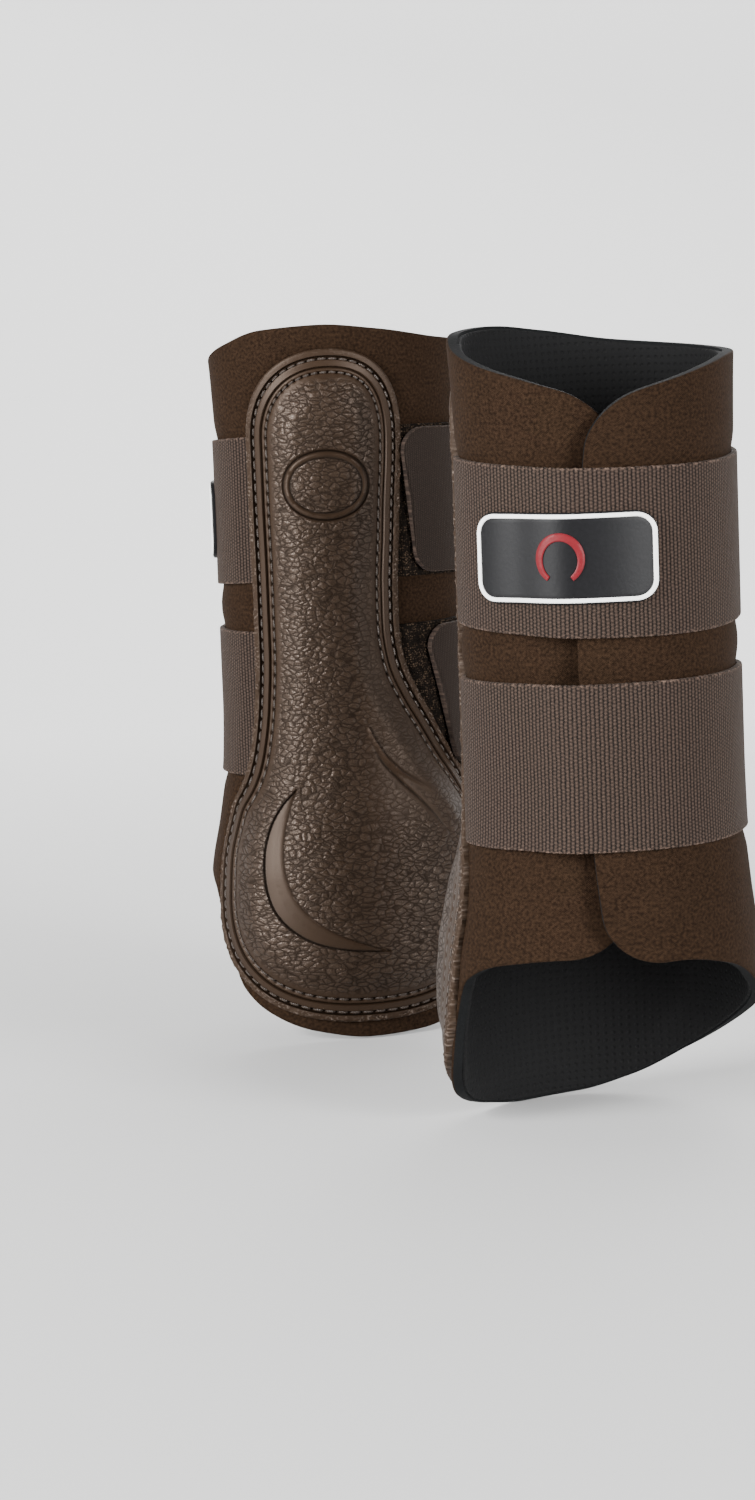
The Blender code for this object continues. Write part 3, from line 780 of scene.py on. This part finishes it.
def moulding(
    name, side, outline, insets, relief, base, material, spacing, back_spacing, thickness, details=None
):
    """A closed moulded sheet. Rings at the insets follow the outline, and an even mesh fills the middle.

    relief(u, v, inset, number) gives the height in millimetres above base, and the fields for the material.
    number is the point's place round the outline, and -1 in the middle. thickness is how far the back lies
    below base.
    """
    directions, count = inward(outline), len(outline)
    rings = np.concatenate([outline + directions * inset for inset in insets])
    ring_insets = np.repeat(np.array(insets, float), count)
    numbers = np.tile(np.arange(count), len(insets))
    grid, triangles = fill(rings[-count:], spacing, details)
    flat = np.concatenate([rings, grid])
    depth = np.concatenate([ring_insets, depth_in(grid, outline)])
    number = np.concatenate([numbers, np.full(len(grid), -1)])
    height, fields = relief(flat[:, 0], flat[:, 1], depth, number)
    back_grid, back_triangles = fill(outline, back_spacing)
    back = np.concatenate([outline, back_grid])
    offsets = base(flat[:, 0], flat[:, 1]) + height * MM
    back_offsets = base(back[:, 0], back[:, 1]) - thickness * MM
    points = np.concatenate([on_boot(side, *flat.T, offsets), on_boot(side, *back.T, back_offsets)])
    first_back = len(flat)
    quads = ring_faces([first_back] + [ring * count for ring in range(len(insets))], count)
    middle = (triangles + (len(insets) - 1) * count).tolist()
    behind = (back_triangles[:, ::-1] + first_back).tolist()
    uv = np.concatenate([flat, back])
    padding = np.zeros(len(back))
    fields = {key: np.concatenate([values, padding]) for key, values in fields.items()}
    return new_object(name, side, points, quads + middle + behind, uv, (material,), fields=fields)


def on_boot(side, u, v, offset):
    """World points of flat places in millimetres, at an offset in metres."""
    return points_on(side, wrap_at(u * MM), v * MM, offset)


def flat_curve(points, count):
    """A smooth flat line through (wrap angle, height in millimetres) points."""
    points = np.array([(arc(wrap) / MM, height) for wrap, height in points])
    line = resample(points, count)
    for _ in range(count // 3):
        line[1:-1] = (line[:-2] + 2 * line[1:-1] + line[2:]) / 4
    return line


# Strike pad

STITCH_PITCH = 4  # outline points from one stitch hole to the next
STITCHES = 148
STITCH_ROWS = (3.4, 8.0)
PAD_INSETS = (
    0.0, 0.25, 0.7, 1.2, 1.8, 2.25, 2.45, 2.6, 2.75, 2.95, 3.15, 3.4, 3.65, 3.9, 4.4, 5.1, 5.8, 6.1, 6.3,
    6.5, 6.8, 7.3, 7.75, 8.0, 8.25, 8.6, 9.2, 9.9, 10.6, 11.4,
)
PAD_SECTION = (
    (0.0, 0.85), (0.25, 1.25), (0.7, 1.5), (1.6, 1.55), (2.2, 1.65), (2.35, 1.45), (2.6, 0.7),
    (2.95, 1.25), (3.4, 1.15), (4.0, 1.5), (5.1, 1.65), (5.8, 1.8), (6.05, 1.6), (6.3, 0.95), (6.7, 1.45),
    (7.4, 1.55), (8.0, 1.25), (8.6, 1.5), (9.2, 1.75), (10.0, 1.9),
)
DOME = 2.7
CRESCENT_OUTER = (
    (14, 86.8), (20, 82), (25, 74.8), (27, 67), (26.5, 60), (25, 52.5), (22, 46), (17, 41), (11, 37),
    (4.5, 34.2), (-2, 32.6), (-9, 31.5), (-17, 30.8), (-22.4, 30.5),
)
CRESCENT_INNER = (
    (14, 86.8), (16, 82.3), (18.2, 75), (18.8, 68), (17.8, 61), (15.6, 54.3), (11.6, 48), (5.2, 42.3),
    (-2, 38), (-9.8, 34.8), (-17.2, 32.2), (-22.4, 30.5),
)
RIDGE = ((-16.5, 108.8), (-20, 102.5), (-24.5, 96.5), (-31.2, 91), (-38.5, 87.2), (-45, 84))
RIDGE_FOOT = ((-18, 101.5), (-23.5, 94.2), (-31.2, 87.5), (-39, 81.5), (-45.2, 76.2), (-54, 67))
OVAL_CENTRE = (-3.3, 190.8)
OVAL_HALVES = (13.8, 11.8)


def pad_outline():
    t = (1 - np.cos(np.linspace(0.0, np.pi, 1500))) / 2
    heights = PAD_BOTTOM + (PAD_TOP - PAD_BOTTOM) * t
    rear, front = pad_edges(heights)
    u = np.concatenate([arc(front), arc(rear)[::-1]])
    v = np.concatenate([heights, heights[::-1]])
    loop = even_loop(np.stack([u, v], axis=1) / MM, 2400)
    return even_loop(soften_loop(loop, 8), STITCHES * STITCH_PITCH)


def oval_line():
    angle = np.linspace(0.0, 2 * np.pi, 180, endpoint=False)
    across, up = OVAL_HALVES
    u = arc(OVAL_CENTRE[0]) / MM + across * np.cos(angle)
    return np.stack([u, OVAL_CENTRE[1] + up * np.sin(angle)], axis=1)


def pad_details():
    """Places on the strike pad where its pressed lines need a closer mesh."""
    steps = np.array([-0.5, -0.25, 0.0, 0.25, 0.5])
    lines = ((CRESCENT_OUTER, 190), (CRESCENT_INNER, 170), (RIDGE, 110), (RIDGE_FOOT, 120))
    places = [beside(flat_curve(*line), steps) for line in lines]
    return np.concatenate(places + [beside(oval_line(), np.concatenate([steps, steps + 2.4]))])


def pad_relief(u, v, inset, number):
    points = np.stack([u, v], axis=1)
    height = np.interp(inset, *np.array(PAD_SECTION).T)
    height += DOME * ease(inset, 8.2, 18.5) + 0.5 * ease(inset, 14.0, 34.0)
    # Painted shade: this field darkens the pressed grooves, and below also the stitch holes and the lines
    # round the crescent, ridge and oval.
    crease = 0.9 * peak(inset - 2.6, 0.22) + 0.75 * peak(inset - 6.3, 0.2)
    smooth = 1 - ease(inset, 9.0, 11.5)
    raw = (1 - ease(inset, 1.9, 2.3)) * (1 - 0.85 * ease(v, 205.0, 226.0))
    random = np.random.default_rng(5)
    height += raw * random.normal(0.0, 0.16, len(u))

    # Painted shade in the stitch holes.
    hole = (number >= 0) & (number % STITCH_PITCH == 0)
    for row in STITCH_ROWS:
        in_row = hole & (np.abs(inset - row) < 0.3)
        height -= 0.75 * in_row
        crease += in_row

    outer, inner = flat_curve(CRESCENT_OUTER, 260), flat_curve(CRESCENT_INNER, 260)
    moon = np.concatenate([inner, outer[::-1][1:-1]])
    in_moon = depth_in(points, moon)
    to_outer, along = distance_to(points, outer)
    to_inner, _ = distance_to(points, inner)
    inside = np.clip(0.5 + in_moon / 0.5, 0.0, 1.0)
    height -= inside * (0.35 + 0.30 * np.exp(-to_outer / 3.0)) + 0.25 * peak(to_inner, 0.5)
    height += 0.3 * peak(np.minimum(in_moon, 0.0) + 0.9, 0.8) * (to_outer < to_inner + 0.5)
    ends = ease(along, 0.0, 0.04) * (1 - ease(along, 0.96, 1.0))
    # Painted shade along the crescent's lines.
    crease += ends * (0.95 * peak(to_outer, 0.38) + 0.35 * peak(to_inner, 0.4))
    smooth = np.maximum(smooth, inside)

    crest, along_crest = distance_to(points, flat_curve(RIDGE, 200))
    foot, along_foot = distance_to(points, flat_curve(RIDGE_FOOT, 200))
    fade = ease(along_crest, 0.0, 0.10) * (1 - 0.8 * ease(along_crest, 0.55, 1.0))
    height += 0.8 * fade * peak(crest, 0.45)
    fade = ease(along_foot, 0.0, 0.15) * (1 - 0.6 * ease(along_foot, 0.7, 1.0))
    height -= 0.35 * fade * peak(foot, 0.40)
    # Painted shade along the ridge's foot.
    crease += 0.7 * fade * peak(foot, 0.33)
    smooth = np.maximum(smooth, fade * (1 - ease(np.minimum(crest, foot), 1.2, 2.4)))
    shaded = ease(-u, 8.0, 15.0) * ease(v, 60.0, 85.0) * (1 - ease(v, 150.0, 185.0))
    smooth = np.maximum(smooth, 0.55 * shaded)

    past, _ = distance_to(points, oval_line())
    past = np.where(depth_in(points, oval_line()) > 0, -past, past)
    height += -0.55 * peak(past, 0.35) + 0.3 * peak(past + 1.2, 0.55) - 0.4 * peak(past + 2.4, 0.35)
    height -= 0.2 * (1 - ease(past, -3.2, -2.2))
    # Painted shade in the oval's grooves.
    crease += 0.9 * peak(past, 0.35) + 0.75 * peak(past + 2.4, 0.35)
    smooth = np.maximum(smooth, ease(past, -2.6, -2.3) * (1 - ease(past, 0.3, 0.8)))

    # Long, shallow folds across the pebbled middle
    fold = np.sin(0.55 * u + 0.38 * v + 2.0 * np.sin(0.11 * v) + 1.4 * np.sin(0.17 * u + 1.0))
    height += 0.07 * fold * (1 - smooth)
    height += 0.10 * np.sin(0.16 * u + 0.7) * np.sin(0.13 * v) * (1 - smooth)
    return height, {"smooth": smooth, "crease": np.clip(crease, 0.0, 1.0), "raw_edge": raw}


def pad_base(u, v):
    """The neoprene's face under the strike pad."""
    return 0 * u + 0.0005


def thread_row(name, side, outline, inset, radius):
    """A row of stitches between the holes at that inset."""
    directions = inward(outline)
    loop = outline + directions * inset
    across = 8
    stations = np.linspace(0.0, 1.0, 9)
    begin = np.arange(0, len(outline), STITCH_PITCH)
    place = begin[:, None] + 0.34 + (STITCH_PITCH - 0.68) * stations[None]
    numbers = np.arange(len(outline) + 1)
    closed, turned = np.concatenate([loop, loop[:1]]), np.concatenate([directions, directions[:1]])
    u, v = (np.interp(place, numbers, closed[:, axis]) for axis in (0, 1))
    du, dv = (np.interp(place, numbers, turned[:, axis]) for axis in (0, 1))
    girth = radius * (1 - 0.75 * np.abs(2 * stations - 1) ** 5)
    rise = np.interp(inset, *np.array(PAD_SECTION).T) + 0.16 - 0.42 * np.abs(2 * stations - 1) ** 4
    angle = np.linspace(0.0, 2 * np.pi, across, endpoint=False)
    spread = girth[None, :, None] * np.cos(angle)
    points_u = u[..., None] + du[..., None] * spread
    points_v = v[..., None] + dv[..., None] * spread
    lift = rise[None, :, None] + girth[None, :, None] * np.sin(angle) + 0 * spread
    offsets = pad_base(points_u, points_v) + lift * MM
    points = on_boot(side, points_u, points_v, offsets).reshape(-1, 3)
    length = np.linspace(0.0, 3.3, len(stations))
    uv = np.stack([length[None, :, None] + 0 * points_u, angle * radius + 0 * points_u], axis=-1)
    index = np.arange(points_u.size).reshape(points_u.shape)
    near, far = index[:, :-1], index[:, 1:]
    sides = np.stack([near, far, np.roll(far, -1, axis=2), np.roll(near, -1, axis=2)], axis=-1)
    faces = sides.reshape(-1, 4).tolist() + index[:, 0].tolist() + index[:, -1, ::-1].tolist()
    piece = new_object(name, side, points, faces, uv.reshape(-1, 2), (THREAD,), sharp=70)
    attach(piece, f"{side}_core")


def strike_pad(side):
    outline = pad_outline()
    pad = moulding(
        "strike_pad_cover", side, outline, PAD_INSETS, pad_relief, pad_base, LEATHER, 0.7, 3.0, 1.0,
        pad_details(),
    )
    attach(pad, f"{side}_core")
    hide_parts(f"{side}_strike_pad", f"{side}_pad_insert")
    for number, inset in enumerate(STITCH_ROWS, 1):
        thread_row(f"pad_stitching_{number}", side, outline, inset, 0.36)


# Hook and loop


def loop_patch(side, level):
    """Loop pile behind the pad's rear edge, where a strap's free end presses down."""
    start = TAB_HINGE + 4 - 360
    s, t = np.meshgrid(edge_lines(0.034, 0.0009, 0.0004), edge_lines(STRAP_WIDTH, 0.0009, 0.0004))
    height = strap_middle(level, -60.0) + (2 * t - 1) * (STRAP_WIDTH / 2 + 0.001)
    end = pad_edges(height)[0] + TUCK
    length = arc(end) - arc(start)
    wrap = wrap_at(arc(start) + length * s)
    height = height + strap_middle(level, wrap) - strap_middle(level, -60.0)
    random = np.random.default_rng(11)
    pile = 0.0010 + 0.00017 * random.normal(size=wrap.shape)
    _, _, up, down = surface_distances(wrap, height)
    tucked = 0.0011 * (1 - ease(length * (1 - s), 0.0005, 0.004))
    outer = LAYER_GAP + pile - round_edge(np.minimum(up, down), 0.0004) - tucked
    piece = sheet_object(f"{level}_loop_pile", side, wrap, height, outer, 0 * outer - 0.0010, (PILE,) * 3)
    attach(piece, f"{side}_core")
    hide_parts(f"{side}_{level}_loop_patch")


def hook_pad(side, level):
    """Hook tape under a strap's free end."""
    low, high = TAB_ENDS[level]
    s, t = edge_lines(0.03, 0.001, 0.0003), edge_lines(STRAP_WIDTH - 0.008, 0.001, 0.0003)
    s, t = np.meshgrid(s, t)
    first = TAB_HINGE + 5 + 0 * t
    last = low + (high - low) * t - 6
    wrap = first + (last - first) * s
    height = strap_middle(level, wrap) + (2 * t - 1) * (STRAP_WIDTH / 2 - 0.004)
    random = np.random.default_rng(12)
    face = strap_base(wrap) - 0.0003
    inner = face - 0.0010 + 0.00018 * random.normal(size=wrap.shape)
    piece = sheet_object(f"{level}_hook_tape", side, wrap, height, face, inner, (HOOKS,) * 3)
    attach(piece, f"{side}_{level}_tab")
    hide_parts(f"{side}_{level}_hook_pad")


# Badge

BADGE_MIDDLE = 113.0
BADGE_DROP = 1.5
BADGE_SIZE = (52.0, 27.0)
BADGE_CORNER = 6.5
BADGE_INSETS = (0.0, 0.12, 0.35, 0.75, 1.0, 1.12, 1.25, 1.5, 1.75, 1.88, 2.0, 2.3, 2.9)


def rounded_rectangle(centre, size, corner, count):
    """A counterclockwise closed line."""
    points = []
    for turn, (su, sv) in enumerate(((1, -1), (1, 1), (-1, 1), (-1, -1))):
        for angle in np.linspace(-90, 0, 12) + 90 * turn:
            reach = np.array([math.cos(math.radians(angle)), math.sin(math.radians(angle))]) * corner
            points.append((su * (size[0] / 2 - corner) + reach[0], sv * (size[1] / 2 - corner) + reach[1]))
    return even_loop(np.array(points) + centre, count)


def badge_base(u, v):
    return strap_base(wrap_at(u * MM)) + 0.0012


def badge(side):
    """A rubber badge with a raised white rim and a plain horseshoe."""
    middle_height = float(strap_middle("upper", BADGE_MIDDLE)) / MM
    centre = np.array([arc(BADGE_MIDDLE) / MM, middle_height - BADGE_DROP])
    outline = rounded_rectangle(centre, BADGE_SIZE, BADGE_CORNER, 300)
    section = np.array(((0.0, 0.7), (0.12, 0.95), (0.35, 1.1), (2.0, 1.1), (2.3, 1.15), (40.0, 1.15)))
    plate = moulding(
        "badge_plate", side, outline, BADGE_INSETS,
        lambda u, v, inset, number: (np.interp(inset, *section.T), {}),
        badge_base, BADGE_BLACK, 1.6, 4.0, 0.1,
    )
    rim_outline = rounded_rectangle(centre, np.array(BADGE_SIZE) - 1.0, BADGE_CORNER - 0.5, 300)
    rim = band("badge_rim", side, rim_outline, 1.25, 1.0, 1.55, badge_base, BADGE_WHITE)
    shoe = moulding(
        "badge_horseshoe", side, horseshoe(centre), (0.0, 0.1, 0.3),
        lambda u, v, inset, number: (1.45 + 0.25 * ease(inset, 0, 0.3), {}),
        badge_base, BADGE_RED, 0.8, 1.2, -0.9,
    )
    for piece in (plate, rim, shoe):
        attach(piece, f"{side}_front_wing")
    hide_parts(f"{side}_badge")


def horseshoe(centre):
    """The outline of a horseshoe, open at the bottom."""
    angles = np.radians(np.linspace(-58, 238, 60))
    outer = np.stack([6.4 * np.cos(angles), 7.6 * np.sin(angles)], axis=1)
    width = 1.9 + 0.5 * np.sin(angles)
    inner = np.stack([(6.4 - width) * np.cos(angles), (7.6 - width) * np.sin(angles)], axis=1)
    return even_loop(np.concatenate([outer, inner[::-1]]) + centre, 150)


def band(name, side, outline, width, low, high, base, material):
    """A raised rim that follows a closed line."""
    edge = 0.2
    insets = (0.0, 0.0, edge, width - edge, width, width)
    heights = (low, high - edge, high, high, high - edge, low)
    directions, count = inward(outline), len(outline)
    points, uv = [], []
    for inset, height in zip(insets, heights):
        flat = outline + directions * inset
        points.append(on_boot(side, *flat.T, base(*flat.T) + height * MM))
        uv.append(flat)
    faces = ring_faces([ring * count for ring in range(len(insets))] + [0], count)
    return new_object(name, side, np.concatenate(points), faces, np.concatenate(uv), (material,))


# Floor, light and camera


def stage_piece(name, points, faces, material):
    mesh = bpy.data.meshes.new(name)
    mesh.from_pydata(points, [], faces)
    mesh.shade_smooth()
    mesh.materials.append(material)
    piece = link_object(name, mesh)
    piece.rotation_euler.z = math.radians(CAMERA_TURN)


def quarter_turn(start, radius):
    """A curve that runs level from start and ends upright, as (distance, height)."""
    angles = np.linspace(0.0, math.pi / 2, 16)
    return [(start + radius * math.sin(a), radius * (1 - math.cos(a))) for a in angles]


def stage_material():
    """Pale paper that glows behind the boots and far off. It can't be seen from its back."""
    paint = Paint("pale_floor", (0.86, 0.86, 0.855), 0.8, True, Emission_Color=(1.0, 1.0, 1.0, 1.0))
    near, behind = paint.axis(1).stretch(-0.95, -0.50), paint.axis(1).stretch(0.10, 0.90)
    far = paint.field("VectorMath", {0: paint.space}, 1, operation="LENGTH").stretch(1.3, 2.6)
    colour = paint.blend(near.calc("MAXIMUM", far), (0.25, 0.25, 0.25), (0.52, 0.52, 0.517))
    glow = (behind * 0.75 + near * 0.15).calc("MAXIMUM", far * 0.80)
    material = paint.feed(Base_Color=colour, Emission_Strength=glow)
    back = node(paint.tree, "NewGeometry").outputs["Backfacing"]
    clear = node(paint.tree, "BsdfTransparent").outputs[0]
    seen = node(paint.tree, "MixShader", {0: back, 1: paint.shader.outputs[0], 2: clear}).outputs[0]
    paint.tree.links.new(seen, paint.tree.nodes["Material Output"].inputs["Surface"])
    return material


def studio():
    paper = stage_material()
    sweep = [(1.1, 0.0)] + quarter_turn(1.1, 0.5) + [(1.6, 2.4)]
    points = [(side * 3.0, y, z) for side in (-1, 1) for y, z in sweep]
    count = len(sweep)
    faces = [(i, count + i, count + i + 1, i + 1) for i in range(count - 1)]
    stage_piece("backdrop", points, faces, paper)
    rings, around = [(1e-3, 0.0), (1.0, 0.0), (3.0, 0.0)] + quarter_turn(8.0, 1.0) + [(9.0, 2.6)], 64
    angles = [2 * math.pi * step / around for step in range(around)]
    points = [(r * math.cos(a), r * math.sin(a), z - 0.0006) for r, z in rings for a in angles]
    faces = ring_faces([ring * around for ring in range(len(rings))], around)
    stage_piece("floor", points, [face[::-1] for face in faces], paper)
    world = bpy.data.worlds.new("studio")
    world.use_nodes = True
    background = world.node_tree.nodes["Background"]
    background.inputs["Color"].default_value = (1.0, 1.0, 1.0, 1.0)
    background.inputs["Strength"].default_value = 0.08
    bpy.context.scene.world = world
    area_light("key", 18.0, -54.0, 1.5, 0.6, 1.0, 68.0)
    area_light("fill", 12.0, 40.0, 1.5, 0.5, 0.8, 43.0)
    area_light("top", 90.0, 0.0, 1.4, 1.2, 1.2, 4.5)
    area_light("back", 30.0, 170.0, 1.5, 1.2, 0.8, 14.0)


def direction_from_boots(turn, rise):
    """The way to a place turned in degrees round from the horse's front towards its left side, and raised."""
    turn, rise = math.radians(turn), math.radians(rise)
    return Vector((math.sin(turn) * math.cos(rise), -math.cos(turn) * math.cos(rise), math.sin(rise)))


def area_light(name, elevation, swing, distance, width, height, power):
    """A softbox aimed at the boots. swing is degrees to the camera's right."""
    light = bpy.data.lights.new(name, "AREA")
    light.shape, light.size, light.size_y, light.energy = "RECTANGLE", width, height, power
    lamp = link_object(name, light)
    lamp.visible_camera = False
    away = direction_from_boots(CAMERA_TURN + swing, elevation)
    target = Vector((0.0, 0.0, 0.12))
    lamp.location = target + away * distance
    lamp.rotation_euler = (-away).to_track_quat("-Z", "Y").to_euler()


CAMERA_TURN = 66.0  # degrees round from the horse's front towards its left side
CAMERA_PITCH = 7.6
CAMERA_ROLL = 2.1
CAMERA_DISTANCE = 1.25
CAMERA_LENS = 90.96
CAMERA_SHIFT_RIGHT = -0.0295
CAMERA_AIM_HEIGHT = 0.106


def camera():
    turn, roll = math.radians(CAMERA_TURN), math.radians(CAMERA_ROLL)
    forward = -direction_from_boots(CAMERA_TURN, CAMERA_PITCH)
    right = Vector((math.cos(turn), math.sin(turn), 0.0))
    up = right.cross(forward)
    rolled_right = right * math.cos(roll) - up * math.sin(roll)
    rolled_up = right * math.sin(roll) + up * math.cos(roll)
    place = right * CAMERA_SHIFT_RIGHT + Vector((0.0, 0.0, CAMERA_AIM_HEIGHT)) - forward * CAMERA_DISTANCE
    data = bpy.data.cameras.new("camera")
    data.lens, data.sensor_width = CAMERA_LENS, 36.0
    made = link_object("camera", data)
    matrix = Matrix((rolled_right, rolled_up, -forward)).transposed().to_4x4()
    matrix.translation = place
    made.matrix_world = matrix
    bpy.context.scene.camera = made


def main():
    camera()
    studio()
    for side in SIDES:
        shell_piece(side, "front", FRONT_PANEL_END, 0.018, lambda w: 0.0 * w, 0.0, 0.0)
        shell_piece(side, "rear", REAR_PANEL_END, 0.015, rear_lift, PANEL_BOW, 0.0012)
        strike_pad(side)
        badge(side)
        for level in STRAP_HEIGHTS:
            strap_pieces(side, level)
            loop_patch(side, level)
            hook_pad(side, level)


main()
